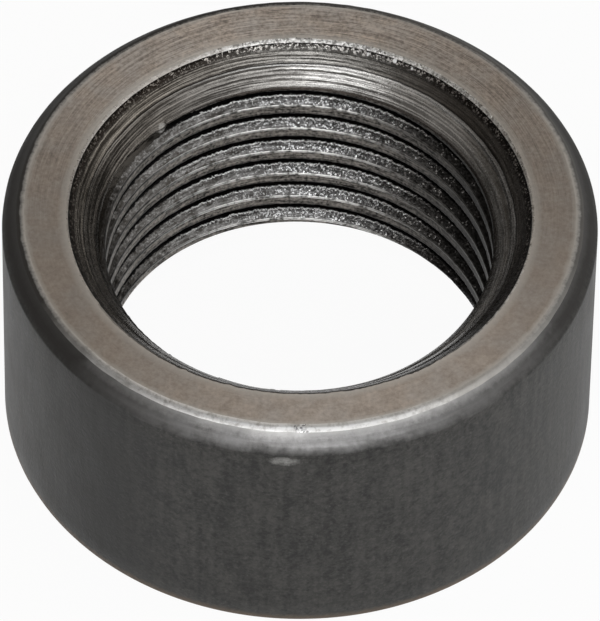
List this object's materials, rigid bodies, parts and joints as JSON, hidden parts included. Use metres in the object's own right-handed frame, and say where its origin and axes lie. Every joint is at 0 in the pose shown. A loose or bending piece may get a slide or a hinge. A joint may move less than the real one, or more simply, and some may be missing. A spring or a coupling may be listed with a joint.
{
  "type": "oxygen sensor weld bung",
  "caption": "Short turned steel ring with an internal sensor thread, countersunk mouths and a chamfered outer corner, welded into or onto an exhaust pipe.",
  "frame": {"origin": "centre of the base face, on the axis of the bore", "axes": "+Z along the bore, from the base that meets the pipe to the chamfered face that the sensor seats on; X and Y are the two directions across the ring"},
  "size_m": [0.0254, 0.0254, 0.012],
  "materials": {
    "steel": "bare mild steel as turned, dull grey-brown on the faces and dark with mill scale on the outside"
  },
  "bodies": {
    "root": {"weld_bung": "steel"}
  },
  "joints": []
}
